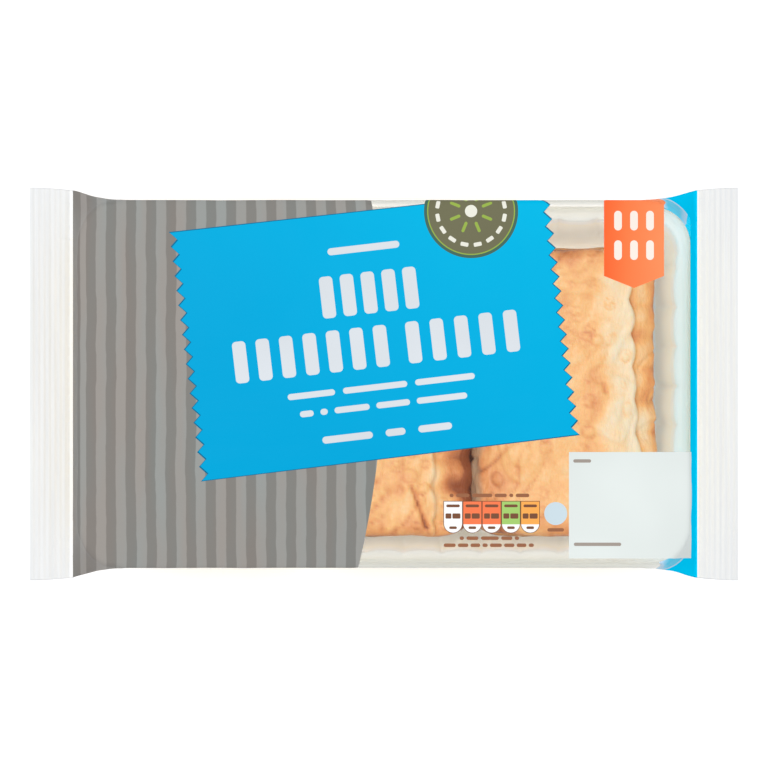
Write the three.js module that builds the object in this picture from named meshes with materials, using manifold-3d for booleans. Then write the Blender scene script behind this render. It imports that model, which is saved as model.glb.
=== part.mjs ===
// A flow-wrapped pack of six sausage rolls, lying flat with its printed face up.
//
// The food sits in a tray whose walls lean outwards from a small base to a wider rim. One sheet of film is
// wrapped round the tray, joined by a seam under the base, and closed at each end by a flat crimped seal at
// half height. Between the tray and a seal the side panels fold inwards as gussets, so that the seal is only a
// little wider than the pack. The film lies tight on what it holds, so the wrapped pack is one solid.
//
// Millimetres. X runs along the pack, Y across it and Z up from the surface that it rests on.

import * as THREE from 'three';
import { mergeVertices } from 'three/addons/utils/BufferGeometryUtils.js';
import Module from 'manifold-3d';

// Driving dimensions
const packLength = 230.6; // over both end seals
const sealDepth = 14; // each end seal, along X
const sealRootWidth = 126.2; // across the seal where it leaves the pack
const sealTipWidth = 128; // across its free edge
const sealThickness = 0.9;
const sealHeight = 29; // middle of the seal above the ground
const crimpCount = 8; // ridges on each seal, parallel to its free edge
const crimpHeight = 0.35;
const rimLength = 198; // the tray's rim, which the film is stretched over
const rimWidth = 119.6;
const rimCorner = 15;
const rimHeight = 50;
const baseLength = 176.6; // the tray's base
const baseWidth = 95;
const baseCorner = 11;
const crown = 3; // rise of the film over the food, above the rim
const foldRadius = 1.6; // of the film over the rim and under the base
const closingStart = 74; // from the middle of the pack to where the film starts to close
const gussetStart = 86; // from the middle of the pack to where a side panel begins to fold in
const seamWidth = 11; // the flap of the seam under the base
const seamGroove = 0.5; // width of the gap beside the flap
const seamRelief = 0.35; // depth of that gap

// Steps of the mesh
const midSteps = 12; // rings along the open part of the pack
const foldFrom = 0.36; // share of a closing line before the film bends round the tray's edge
const foldTo = 0.46;
const closingSteps = [0, 0.18, 0.36, 0.385, 0.41, 0.435, 0.46, 0.55, 0.65, 0.75, 0.85, 0.93, 1];
const bendSteps = 3; // across the bend of the film along the pack's long edges
const gussetShares = [0.25, 0.5, 0.75]; // down from an edge of a side panel to its middle

// The film's girth stays the same, so what the seal's width leaves over is folded in, half at each side.
const sealRoot = packLength / 2 - sealDepth;
const sidePanel = Math.hypot(rimHeight, (rimWidth - baseWidth) / 2);
const halfGirth = rimWidth / 2 + sidePanel + baseWidth / 2;
const gussetDepth = (halfGirth - sealRootWidth) / 2;

const smooth = (s) => s * s * (3 - 2 * s);
const lerp = THREE.MathUtils.lerp;

// A rectangle with round corners, seen from above: the X of its end at a distance y from the middle.
function endOf(length, width, corner, y) {
  const into = Math.max(0, y - (width / 2 - corner));
  return length / 2 - corner + Math.sqrt(Math.max(0, corner * corner - into * into));
}

// How far the film stands above the rim over the food.
function crownAt(x, y) {
  const along = Math.min(1, Math.abs(x) / (rimLength / 2));
  const across = Math.min(1, Math.abs(y) / (rimWidth / 2));
  return crown * (1 - along ** 4) * (1 - across ** 2.5);
}

// A line of film from the open pack to the seal. It runs straight to the tray's edge, bends round it, and goes
// on to the seal. share is 0 at the start and 1 at the seal, and the Y of the last leg may ease in and out.
function closingLine(start, edge, root, share, eased) {
  const near = edge.clone().lerp(start, Math.min(0.9, foldRadius / edge.distanceTo(start)));
  const far = edge.clone().lerp(root, Math.min(0.9, foldRadius / edge.distanceTo(root)));
  if (share <= foldFrom) return start.clone().lerp(near, share / foldFrom);
  if (share <= foldTo) {
    const bend = new THREE.QuadraticBezierCurve3(near, edge, far);
    return bend.getPoint((share - foldFrom) / (foldTo - foldFrom));
  }
  const along = (share - foldTo) / (1 - foldTo);
  const point = far.clone().lerp(root, along);
  if (eased) point.y = lerp(far.y, root.y, smooth(along));
  return point;
}

// The film over the food, at a share of the way from the middle to the long edge.
function topPoint(across, place) {
  const y = (across * rimWidth) / 2;
  if (place.x !== undefined) return new THREE.Vector3(place.x, y, rimHeight + crownAt(place.x, y));
  const start = new THREE.Vector3(closingStart, y, rimHeight + crownAt(closingStart, y));
  const edge = new THREE.Vector3(endOf(rimLength, rimWidth, rimCorner, y), y, rimHeight);
  const root = new THREE.Vector3(sealRoot, (across * sealRootWidth) / 2, sealHeight + sealThickness / 2);
  const point = closingLine(start, edge, root, place.share, true);
  if (place.share < foldFrom) point.z = rimHeight + crownAt(point.x, y);
  return point;
}

// The film under the base, at a share of the way from the middle to the long edge.
function bottomPoint(across, place) {
  const y = (across * baseWidth) / 2;
  if (place.x !== undefined) return new THREE.Vector3(place.x, y, 0);
  const start = new THREE.Vector3(closingStart, y, 0);
  const edge = new THREE.Vector3(endOf(baseLength, baseWidth, baseCorner, y), y, 0);
  const root = new THREE.Vector3(sealRoot, (across * sealRootWidth) / 2, sealHeight - sealThickness / 2);
  return closingLine(start, edge, root, place.share, true);
}

// The middle line of a side panel, which becomes the inner fold of the gusset.
function foldPoint(place) {
  const y = (rimWidth + baseWidth) / 4;
  const z = rimHeight / 2;
  if (place.x !== undefined) return new THREE.Vector3(place.x, y, z);
  const start = new THREE.Vector3(closingStart, y, z);
  const edge = new THREE.Vector3(gussetStart, y, z);
  const root = new THREE.Vector3(sealRoot, sealRootWidth / 2 - gussetDepth, sealHeight);
  return closingLine(start, edge, root, place.share, false);
}

// Shares of the way across a panel: even over its straight part, then round the corner as far as the bend.
function sharesAcross(width, corner, straightSteps, cornerSteps) {
  const straight = 1 - corner / (width / 2);
  const turn = Math.asin((corner - foldRadius) / corner);
  const shares = [];
  for (let i = 0; i < straightSteps; i++) shares.push((straight * i) / straightSteps);
  for (let i = 0; i <= cornerSteps; i++) {
    shares.push(straight + (1 - straight) * Math.sin((i / cornerSteps) * turn));
  }
  return shares;
}

const topShares = sharesAcross(rimWidth, rimCorner, 6, 5);
const bottomShares = sharesAcross(baseWidth, baseCorner, 4, 4);

// The bend from a point of one panel, round an edge, to a side panel whose middle is at fold. It leaves out
// the point that it starts from.
function bendRound(from, edge, fold) {
  const to = edge.clone().lerp(fold, foldRadius / edge.distanceTo(fold));
  return new THREE.QuadraticBezierCurve3(from, edge, to).getPoints(bendSteps).slice(1);
}

// Half a ring, from the middle of the top down the side to the middle of the bottom.
function halfRing(place) {
  const fold = foldPoint(place);
  const top = topShares.map((share) => topPoint(share, place));
  const bottom = bottomShares.map((share) => bottomPoint(share, place));
  const topBend = bendRound(top.at(-1), topPoint(1, place), fold);
  const bottomBend = bendRound(bottom.at(-1), bottomPoint(1, place), fold);
  const upper = gussetShares.map((share) => topBend.at(-1).clone().lerp(fold, share));
  const lower = gussetShares.map((share) => bottomBend.at(-1).clone().lerp(fold, share));
  return [...top, ...topBend, ...upper, fold, ...[...bottom, ...bottomBend, ...lower].reverse()];
}

// A whole ring round the pack. end is -1 or 1, for the side of the middle that it is on.
function ringAt(place, end) {
  const half = halfRing(place);
  const other = half.slice(1, -1).reverse();
  for (const point of half) point.x *= end;
  return [...half, ...other.map((point) => new THREE.Vector3(point.x, -point.y, point.z))];
}

function allRings() {
  const closing = closingSteps.map((share) => ({ share }));
  const left = [...closing].reverse().map((place) => ringAt(place, -1));
  const right = closing.map((place) => ringAt(place, 1));
  const middle = [];
  for (let i = 1; i < midSteps; i++) {
    middle.push(ringAt({ x: lerp(-closingStart, closingStart, i / midSteps) }, 1));
  }
  return [...left, ...middle, ...right];
}

// The triangles that close a ring, facing +X.
function capFaces(ring, first) {
  const outline = ring.map((point) => new THREE.Vector2(point.y, point.z));
  const turned = THREE.ShapeUtils.isClockWise(outline);
  const faces = THREE.ShapeUtils.triangulateShape(turned ? [...outline].reverse() : outline, []);
  const last = ring.length - 1;
  return faces.map((face) => face.map((i) => first + (turned ? last - i : i)));
}

// One closed mesh through rings that run along +X, each going from the top towards +Y and down.
function loft(rings) {
  const count = rings[0].length;
  const faces = [];
  for (let r = 0; r + 1 < rings.length; r++) {
    for (let i = 0; i < count; i++) {
      const a = r * count + i;
      const b = r * count + ((i + 1) % count);
      faces.push([a, a + count, b], [b, a + count, b + count]);
    }
  }
  for (const [a, b, c] of capFaces(rings[0], 0)) faces.push([a, c, b]);
  faces.push(...capFaces(rings.at(-1), (rings.length - 1) * count));
  const geometry = new THREE.BufferGeometry().setFromPoints(rings.flat());
  geometry.setIndex(faces.flat());
  return geometry;
}

// Half the seal's width at a distance x from the middle of the pack.
function sealHalfWidth(x) {
  const along = Math.max(0, (x - sealRoot) / sealDepth);
  return lerp(sealRootWidth, sealTipWidth, Math.sin((along * Math.PI) / 2)) / 2;
}

// An end seal: a flat strip with rounded ridges parallel to its free edge, seen edge on as a wave.
function sealGeometry() {
  const overlap = 1; // into the closed end of the pack
  const stepsPerCrimp = 6;
  const steps = crimpCount * stepsPerCrimp;
  const xs = [sealRoot - overlap];
  for (let i = 0; i <= steps; i++) xs.push(lerp(sealRoot, packLength / 2, i / steps));
  const rings = xs.map((x) => {
    const along = Math.max(0, (x - sealRoot) / sealDepth);
    const wave = (crimpHeight / 2) * (1 - Math.cos(along * crimpCount * 2 * Math.PI));
    const half = sealHalfWidth(x);
    const low = sealHeight - sealThickness / 2 + wave;
    const high = sealHeight + sealThickness / 2 + wave;
    return [
      new THREE.Vector3(x, half, high),
      new THREE.Vector3(x, half, low),
      new THREE.Vector3(x, -half, low),
      new THREE.Vector3(x, -half, high),
    ];
  });
  return loft(rings);
}

// manifold-3d joins and cuts
const wasm = await Module();
wasm.setup();

function solidFrom(geometry) {
  const bare = geometry.clone();
  bare.deleteAttribute('normal');
  bare.deleteAttribute('uv');
  const merged = mergeVertices(bare, 1e-4);
  return new wasm.Manifold(
    new wasm.Mesh({
      numProp: 3,
      vertProperties: new Float32Array(merged.attributes.position.array),
      triVerts: new Uint32Array(merged.index.array),
    }),
  );
}

function geometryFrom(solid) {
  const mesh = solid.getMesh();
  const geometry = new THREE.BufferGeometry();
  geometry.setAttribute('position', new THREE.BufferAttribute(mesh.vertProperties, 3));
  geometry.setIndex(new THREE.BufferAttribute(mesh.triVerts, 1));
  geometry.computeVertexNormals();
  return geometry;
}

// The two gaps that set the seam's flap off from the film under the base.
function seamGrooves() {
  const length = baseLength - 2 * baseCorner;
  return [-1, 1].map((side) => {
    const groove = new THREE.BoxGeometry(length, seamGroove, 2 * seamRelief);
    return solidFrom(groove.translate(0, (side * (seamWidth + seamGroove)) / 2, 0));
  });
}

function packGeometry() {
  const seal = sealGeometry();
  let pack = solidFrom(loft(allRings()));
  pack = pack.add(solidFrom(seal));
  pack = pack.add(solidFrom(seal.clone().rotateZ(Math.PI)));
  for (const groove of seamGrooves()) pack = pack.subtract(groove);
  return geometryFrom(pack);
}

const film = new THREE.MeshStandardMaterial({ color: 0x0098c8, roughness: 0.35, metalness: 0 });

const wrappedPack = new THREE.Mesh(packGeometry(), film);
wrappedPack.name = 'wrapped_pack';

const pack = new THREE.Group();
pack.add(wrappedPack);

export default pack;
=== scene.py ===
import math
import random
from collections import namedtuple
from itertools import cycle

import bpy
import numpy as np
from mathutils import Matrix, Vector, noise
from mathutils.geometry import delaunay_2d_cdt


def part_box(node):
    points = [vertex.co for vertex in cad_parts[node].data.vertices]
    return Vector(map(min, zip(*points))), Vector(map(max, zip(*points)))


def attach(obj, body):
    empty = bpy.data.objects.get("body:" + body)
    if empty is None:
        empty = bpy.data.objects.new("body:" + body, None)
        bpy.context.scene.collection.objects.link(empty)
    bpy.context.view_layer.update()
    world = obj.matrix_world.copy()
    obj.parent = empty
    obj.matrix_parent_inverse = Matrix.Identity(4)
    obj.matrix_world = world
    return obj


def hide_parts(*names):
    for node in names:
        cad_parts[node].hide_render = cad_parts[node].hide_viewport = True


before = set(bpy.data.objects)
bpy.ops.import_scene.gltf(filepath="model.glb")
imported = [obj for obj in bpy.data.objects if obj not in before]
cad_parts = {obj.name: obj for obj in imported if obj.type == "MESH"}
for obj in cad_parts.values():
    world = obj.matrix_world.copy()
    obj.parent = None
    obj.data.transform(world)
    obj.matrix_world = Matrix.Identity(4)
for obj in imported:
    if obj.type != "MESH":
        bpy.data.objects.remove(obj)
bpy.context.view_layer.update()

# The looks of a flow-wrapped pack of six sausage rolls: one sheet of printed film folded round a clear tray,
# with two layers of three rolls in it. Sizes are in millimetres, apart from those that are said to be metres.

NODE = "wrapped_pack"
MM = 0.001
node_low, node_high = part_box(NODE)

# The wrapped pack has the CAD solid's form, with the rim 0.3 mm further out at the sides and 0.5 mm at the
# ends, and with flatter crimps
PACK_LENGTH = (node_high.x - node_low.x) / MM
SEAL_TIP_WIDTH = (node_high.y - node_low.y) / MM
CROWN = 3.0  # rise of the film over the food, above the rim
RIM_HEIGHT = node_high.z / MM - CROWN
SEAL_ROOT_WIDTH = SEAL_TIP_WIDTH - 1.8
SEAL_DEPTH = 14.0
SEAL_HEIGHT = 29.0
CRIMP_COUNT = 8
CRIMP_HEIGHT = 0.2
RIM_LENGTH = 199.0
RIM_WIDTH = 120.2
RIM_CORNER = 15.0
BASE_LENGTH = 176.6
BASE_WIDTH = 95.0
BASE_CORNER = 11.0
FOLD_RADIUS = 1.6
CLOSING_START = 74.0
GUSSET_START = 86.0
SEAM_WIDTH = 11.0
SEAM_RIBS = 6
SEAM_RIB_HEIGHT = 0.04
SEAM_GAP = 0.2  # from the film to the middle of the seam's flap
SEAM_THICKNESS = 0.12
FILM_BASE = 0.35  # the film under the base clears the ground by the thickness of its seam
LAYER = 0.1  # between the film's layers in a seal

SEAL_ROOT = PACK_LENGTH / 2 - SEAL_DEPTH
SIDE_PANEL = math.hypot(RIM_HEIGHT, (RIM_WIDTH - BASE_WIDTH) / 2)

# The same film laid flat: u runs along the pack and v round it, both from the middle of the top
RIM_V = RIM_WIDTH / 2
FOLD_V = RIM_V + SIDE_PANEL / 2
BASE_V = RIM_V + SIDE_PANEL
HALF_GIRTH = BASE_V + BASE_WIDTH / 2
GUSSET_DEPTH = (HALF_GIRTH - SEAL_ROOT_WIDTH) / 2
SHEET_ROOT = RIM_LENGTH / 2 + math.hypot(SEAL_ROOT - RIM_LENGTH / 2, RIM_HEIGHT - SEAL_HEIGHT)
SHEET_TIP = SHEET_ROOT + SEAL_DEPTH


def smooth(t):
    t = min(1.0, max(0.0, t))
    return t * t * (3 - 2 * t)


def mix(a, b, t):
    return a + (b - a) * t


def bezier(a, b, c, t):
    return a.lerp(b, t).lerp(b.lerp(c, t), t)


def towards(start, end, distance):
    """The point at a distance from start on the way to end."""
    return start.lerp(end, min(0.9, distance / (end - start).length))


# ---------- The film's folded form


def end_of(length, width, corner, y):
    """X of the end of a rectangle with round corners, at y from its middle line."""
    into = max(0.0, y - (width / 2 - corner))
    return length / 2 - corner + math.sqrt(max(0.0, corner**2 - into**2))


def crown_at(x, y):
    along = min(1.0, abs(x) / (RIM_LENGTH / 2))
    across = min(1.0, abs(y) / (RIM_WIDTH / 2))
    return CROWN * (1 - along**4) * (1 - across**2.5)


def fold_radius(u):
    """The folds along the pack, pressed sharper towards its seals."""
    return mix(FOLD_RADIUS, 0.15, smooth((u - CLOSING_START) / (SHEET_ROOT - CLOSING_START)))


def closing_line(start, edge, root, u, eased):
    """A line of film that runs to the tray's edge, bends round it and goes on to the seal's root."""
    if u <= start.x:
        return Vector((u, start.y, start.z))
    near = towards(edge, start, FOLD_RADIUS)
    far = towards(edge, root, FOLD_RADIUS)
    far_u = edge.x + FOLD_RADIUS
    if u <= near.x:
        return start.lerp(near, (u - start.x) / (near.x - start.x))
    if u <= far_u:
        return bezier(near, edge, far, (u - near.x) / (far_u - near.x))
    along = (u - far_u) / (SHEET_ROOT - far_u)
    point = far.lerp(root, along)
    if eased:
        point.y = mix(far.y, root.y, along**1.6)
    return point


def top_line(across, u):
    y = across * RIM_WIDTH / 2
    start = Vector((CLOSING_START, y, RIM_HEIGHT + crown_at(CLOSING_START, y)))
    edge = Vector((end_of(RIM_LENGTH, RIM_WIDTH, RIM_CORNER, y), y, RIM_HEIGHT))
    root = Vector((SEAL_ROOT, across * SEAL_ROOT_WIDTH / 2, SEAL_HEIGHT + LAYER))
    point = closing_line(start, edge, root, u, True)
    if u < edge.x - FOLD_RADIUS:
        point.z = RIM_HEIGHT + crown_at(point.x, y)
    return point


def bottom_line(across, u):
    y = across * BASE_WIDTH / 2
    start = Vector((CLOSING_START, y, FILM_BASE))
    edge = Vector((end_of(BASE_LENGTH, BASE_WIDTH, BASE_CORNER, y), y, FILM_BASE))
    root = Vector((SEAL_ROOT, across * SEAL_ROOT_WIDTH / 2, SEAL_HEIGHT - LAYER))
    return closing_line(start, edge, root, u, True)


def fold_line(u):
    """The middle of a side panel, which becomes the inner fold of the gusset."""
    y = (RIM_WIDTH + BASE_WIDTH) / 4
    start = Vector((CLOSING_START, y, RIM_HEIGHT / 2))
    edge = Vector((GUSSET_START, y, RIM_HEIGHT / 2))
    root = Vector((SEAL_ROOT, SEAL_ROOT_WIDTH / 2 - GUSSET_DEPTH, SEAL_HEIGHT))
    return closing_line(start, edge, root, u, False)


def half_girth_point(u, v):
    """The film between the middle of the top and the middle of the base, short of the seals."""
    bend = fold_radius(u)
    if v <= RIM_V - bend:
        return top_line(v / RIM_V, u)
    if v >= BASE_V + bend:
        return bottom_line((HALF_GIRTH - v) / (BASE_WIDTH / 2), u)
    fold = fold_line(u)
    rim = top_line(1, u)
    base = bottom_line(1, u)
    upper = towards(rim, fold, bend)
    lower = towards(base, fold, bend)
    if v < RIM_V + bend:
        inner = top_line(1 - bend / RIM_V, u)
        return bezier(inner, rim, upper, (v - RIM_V + bend) / (2 * bend))
    if v > BASE_V - bend:
        inner = bottom_line(1 - bend / (BASE_WIDTH / 2), u)
        return bezier(lower, base, inner, (v - BASE_V + bend) / (2 * bend))
    half_panel = FOLD_V - RIM_V - bend
    if v < FOLD_V:
        return upper.lerp(fold, (v - RIM_V - bend) / half_panel)
    return fold.lerp(lower, (v - FOLD_V) / half_panel)


def film_point(u, v):
    """Where a point of the flat sheet lies on the wrapped pack."""
    beyond = max(0.0, abs(u) - SHEET_ROOT)
    point = half_girth_point(min(abs(u), SHEET_ROOT), abs(v))
    if beyond > 0:
        share = beyond / SEAL_DEPTH
        width = mix(SEAL_ROOT_WIDTH, SEAL_TIP_WIDTH, math.sin(share * math.pi / 2))
        point.x += beyond
        point.y *= width / SEAL_ROOT_WIDTH
        pressed = min(1.0, beyond / 1.2)
        point.z += pressed * CRIMP_HEIGHT / 2 * (1 - math.cos(share * CRIMP_COUNT * 2 * math.pi))
    return Vector((math.copysign(point.x, u), math.copysign(point.y, v), point.z))


def sheet_from_plan(x, y):
    """The point of the flat sheet that is seen at x, y from straight above."""
    u, v = x, y
    for _ in range(6):
        low, high = 0.0, SHEET_TIP
        for _ in range(28):
            u = (low + high) / 2
            if film_point(u, v).x < abs(x):
                low = u
            else:
                high = u
        v += y - film_point(u, v).y
    return math.copysign(u, x), v


def ripple(u, v, seed):
    return noise.noise(Vector((u, v, seed)))


def film_relief(u, v):
    """How far wrinkles lift the film, in millimetres. Divisors are their lengths along and round the pack."""
    a = abs(u)
    spot = Vector((u, v, 0))
    lift = 0.10 * noise.noise(spot / 21) + 0.05 * noise.noise(spot / 7.3)
    lift += 0.07 * ripple(u / 46, v / 5.5, 3)
    from_root = SHEET_ROOT - a
    if from_root > 0:
        pleat = ripple(u / 30, v / 3.2, 7) + 0.5 * ripple(u / 18, v / 1.6, 11)
        lift += 0.42 * math.exp(-from_root / 8) * pleat * smooth(from_root / 4)
        drop = smooth((a - RIM_LENGTH / 2 + 3) / 6)
        lift += 0.25 * drop * ripple(u / 14, v / 6, 17)
    else:
        lift *= 0.15
    if abs(v) > RIM_V:
        side = smooth((abs(v) - RIM_V) / 8) * smooth((BASE_V - abs(v)) / 8)
        lift += 0.30 * side * ripple(u / 24, v / 11 + u / 40, 23)
    if abs(v) > BASE_V:
        lift = min(lift, 0.0) * 0.5
    return lift


# ---------- The print, laid out on the flat sheet

STRIPE_PITCH = 6.5
STRIPE_SHIFT = 4.2  # puts the middle of a dark stripe at -75.7
PRINT_END = 0.75  # how far the blue runs on into the seal at its end
GREY_EDGE = ((-4.2, RIM_V), (5.85, 0.0), (-8.45, -RIM_V))  # the curve that ends the stripes on the top
WINDOW_END = 99.75
WINDOW_CORNER = (88.1, 48.1)  # middle of its round corner; the other one mirrors it
WINDOW_RADIUS = 12.8
WINDOW_CORNER_START = 76  # degrees, where the round corner meets the line down the side
UNDER_BLUE = 84.0  # where the blue begins on the underside
# A painted highlight over the window's corners, where the film bends over the tray's round corners
HIGHLIGHT_CORNER = (86.8, 45.9)  # the tray's round corner
HIGHLIGHT_RADIUS = 12.2
HIGHLIGHT_OUTER = (80, 33, 14)  # degrees from and to, and steps, along the window's corner
HIGHLIGHT_INNER = (27, 78, 18)  # and back along the tray's
HIGHLIGHT_TIPS = (90.0, 99.5)  # X of its two pale tips

LABEL_CORNERS = ((-70.0, 49.4), (53.5, 63.0), (63.7, -16.6), (-59.5, -31.7))  # clockwise from top left
LABEL_TEETH = 17
LABEL_TOOTH = 2.35
LABEL_LINE = 0.28

# Rows down the label: place below its middle, height, width of an upright block, gap, and each word's length.
# Where there is no block width, a word is one bar that lies along the row.
LABEL_ROWS = (
    (-28.4, 2.3, 0, 0, (23.5,)),
    (-13.8, 13.6, 4.4, 6.2, (31.6,)),
    (3.9, 13.6, 4.4, 6.2, (50.4, 36.4)),
    (17.0, 2.0, 0, 2.6, (15.5, 21.0, 19.5)),
    (23.0, 2.0, 0, 2.2, (4.5, 2.4, 11.5, 11.0, 16.5)),
    (32.2, 2.3, 0, 4.2, (16.5, 6.5, 11.0)),
)
BLOCK_PITCH = 7.4
BLOCK_CORNER = 1.3

BADGE_CENTRE = (28.3, 56.2)
BADGE_RINGS = (("badge_rim", 15.3, 96), ("lime", 14.3, 90), ("badge", 13.92, 90), ("badge_cream", 2.0, 30))
PETALS = (8, 5.6, 3.6, 1.0)  # number, distance from the middle, length and width
DASHES = (16, 11.0, 2.6, 1.3)

TAG_SIDES = (71.5, 91.0)
TAG_SHOULDER = 35.1
TAG_POINT = 31.2
TAG_TOP = RIM_V + 11.0  # it goes on a little way down the side
PIP_SIZE = (2.5, 6.4)
PIP_PITCH = (5.2, 9.6)
PIP_CENTRE = (81.25, 48.3)

DATE_BOX = (60.1, 99.9, -56.7, -22.1)  # left, right, bottom and top
DATE_BARS = ((64.4, -25.0, 5.8), (69.4, -52.1, 15.4))  # middle and length
TEXT_HEIGHT = 1.1

CELL_KEYS = ("panel_white", "panel_red", "panel_red", "panel_green", "panel_amber")
CELL_PITCH = 6.27
CELLS_LEFT = 19.3
CELLS_TOP = -38.0
CELLS_COLOUR_END = -45.6
CELLS_BOTTOM = -48.5
CELL_LINE = 0.2
CELL_BARS = (  # across from the cell's middle, down from its top, length, height and corner
    (0.0, 1.6, 4.4, 0.9, None),
    (-1.5, 4.9, 1.9, 1.7, 0.3),
    (1.1, 4.9, 2.6, 1.7, 0.3),
    (0.0, 8.7, 2.5, 0.85, None),
)
# Rows of small words over and under the cells: left, right, Y, gap, and lengths that repeat
WORD_ROWS = (
    (21.3, 48.8, -36.2, 0.8, (1.3, 4.4, 6.6, 3.9)),
    (24.6, 45.8, -50.1, 0.8, (1.4, 3.9, 5.8, 3.6)),
    (19.4, 51.0, -52.4, 0.7, (3.9, 3.4, 3.2, 1.7)),
)
WORD_HEIGHT = 1.15
DISC_CENTRE = (55.8, -42.1)
DISC_RADIUS = 3.74
DISC_BAR = (5.3, 5.4)  # down from the disc's middle, and length


def arc(centre, radius, start, end, steps):
    """Points on an arc, between two angles in degrees."""
    angles = [math.radians(mix(start, end, i / steps)) for i in range(steps + 1)]
    return [(centre[0] + radius * math.cos(a), centre[1] + radius * math.sin(a)) for a in angles]


def circle(centre, radius, steps=72):
    return arc(centre, radius, 0, 360, steps)[:-1]


def bar(centre, length, thickness, degrees=0.0, corner=None):
    """The outline of a bar with round ends, or round corners of a given radius, turned about its middle."""
    radius = corner or min(length, thickness) / 2
    reach = max(0.0, length / 2 - radius)
    rise = max(0.0, thickness / 2 - radius)
    points = []
    for sx, sy, start in ((1, -1, -90), (1, 1, 0), (-1, 1, 90), (-1, -1, 180)):
        points += arc((sx * reach, sy * rise), radius, start, start + 90, 5)
    cos, sin = math.cos(math.radians(degrees)), math.sin(math.radians(degrees))
    return [(centre[0] + x * cos - y * sin, centre[1] + x * sin + y * cos) for x, y in points]


def rectangle(left, right, bottom, top):
    return [(left, bottom), (right, bottom), (right, top), (left, top)]


def steps_between(low, high, step):
    count = max(1, round((high - low) / step))
    return [mix(low, high, i / count) for i in range(count + 1)]


def resample(points, step):
    """The same closed line with no two points further apart than step."""
    out = []
    for (ax, ay), (bx, by) in zip(points, points[1:] + points[:1]):
        count = max(1, math.ceil(math.hypot(bx - ax, by - ay) / step))
        out += [(mix(ax, bx, i / count), mix(ay, by, i / count)) for i in range(count)]
    return out


def coloured(key, outlines):
    return [(key, outline) for outline in outlines]


def label_side(start, end, inward):
    """A toothed side from start to end, whose notches lie inward of the line between them."""
    points = []
    for i in range(2 * LABEL_TEETH + 1):
        t = i / (2 * LABEL_TEETH)
        notch = LABEL_TOOTH if i % 2 else 0.0
        points.append((mix(start[0], end[0], t) + inward * notch, mix(start[1], end[1], t)))
    return points


def label_outline(inset):
    """The label, or the same shape with each side moved in by an inset."""
    (ax, ay), (bx, by), (cx, cy), (dx, dy) = LABEL_CORNERS
    wide = inset * 1.5
    left = label_side((ax + wide, ay - inset), (dx + wide, dy + inset), 1)
    right = label_side((cx - wide, cy + inset), (bx - wide, by - inset), -1)
    return left + right


def label_frame():
    """The middle of the label, the direction along its rows and the direction down it."""
    corners = [Vector(corner) for corner in LABEL_CORNERS]
    middle = sum(corners, Vector((0, 0))) / 4
    along = (corners[1] + corners[2] - corners[0] - corners[3]).normalized()
    down = (corners[2] + corners[3] - corners[0] - corners[1]).normalized()
    return middle, along, down


def label_bars():
    middle, along, down = label_frame()
    degrees = math.degrees(math.atan2(along.y, along.x))
    bars = []
    for drop, height, block, gap, lengths in LABEL_ROWS:
        place = -(sum(lengths) + gap * (len(lengths) - 1)) / 2
        for length in lengths:
            start = middle + down * drop + along * place
            width = block or length
            count = round((length - width) / BLOCK_PITCH) + 1
            step = (length - width) / max(1, count - 1)
            for i in range(count):
                spot = start + along * (width / 2 + i * step)
                bars.append(bar(spot, width, height, degrees, BLOCK_CORNER if block else None))
            place += length + gap
    return bars


def badge_ray_bars(rays, turn, corner):
    """Plain bars in a ring round the badge's middle, along its rays or turned across them."""
    count, distance, length, width = rays
    bars = []
    for i in range(count):
        angle = 360 * (i + 0.5) / count
        spot = arc(BADGE_CENTRE, distance, angle, angle, 1)[0]
        bars.append(bar(spot, length, width, angle + turn, corner))
    return bars


def badge_layers():
    """A disc with a rim and a thin ring, and plain marks on it: a dot, dashes and petals."""
    rings = [(key, circle(BADGE_CENTRE, radius, steps)) for key, radius, steps in BADGE_RINGS]
    dashes = coloured("badge_cream", badge_ray_bars(DASHES, 90, 0.35))
    return rings + dashes + coloured("lime", badge_ray_bars(PETALS, 0, None))


def tag_layers():
    left, right = TAG_SIDES
    point = ((left + right) / 2, TAG_POINT)
    edge = [sheet_from_plan(right, y) for y in steps_between(TAG_SHOULDER, RIM_V - 0.5, 1.5)]
    outline = [(left, TAG_TOP), (left, TAG_SHOULDER), point] + edge + [(edge[-1][0], TAG_TOP)]
    spots = [(column, row) for column in (-1, 0, 1) for row in (-0.5, 0.5)]
    centres = [(PIP_CENTRE[0] + c * PIP_PITCH[0], PIP_CENTRE[1] + r * PIP_PITCH[1]) for c, r in spots]
    return [("tag", outline)] + coloured("tag_cream", [bar(centre, *PIP_SIZE) for centre in centres])


def cell_outline(index, inset, foot):
    """One cell of the panel, with a flat top, down to a flat foot or to a round one at the cells' bottom."""
    left = CELLS_LEFT + index * CELL_PITCH + inset
    right = CELLS_LEFT + (index + 1) * CELL_PITCH - inset
    top = CELLS_TOP - inset
    if foot > CELLS_BOTTOM:
        return rectangle(left, right, foot, top)
    radius = (right - left) / 2
    round_foot = arc(((left + right) / 2, foot + inset + radius), radius, 180, 360, 14)
    return [(left, top)] + round_foot + [(right, top)]


def word_row(left, right, y, gap, lengths):
    """A row of small bars between two X, repeating the given lengths."""
    bars = []
    for length in cycle(lengths):
        if left + length > right:
            return bars
        bars.append(bar((left + length / 2, y), length, WORD_HEIGHT))
        left += length + gap


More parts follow.
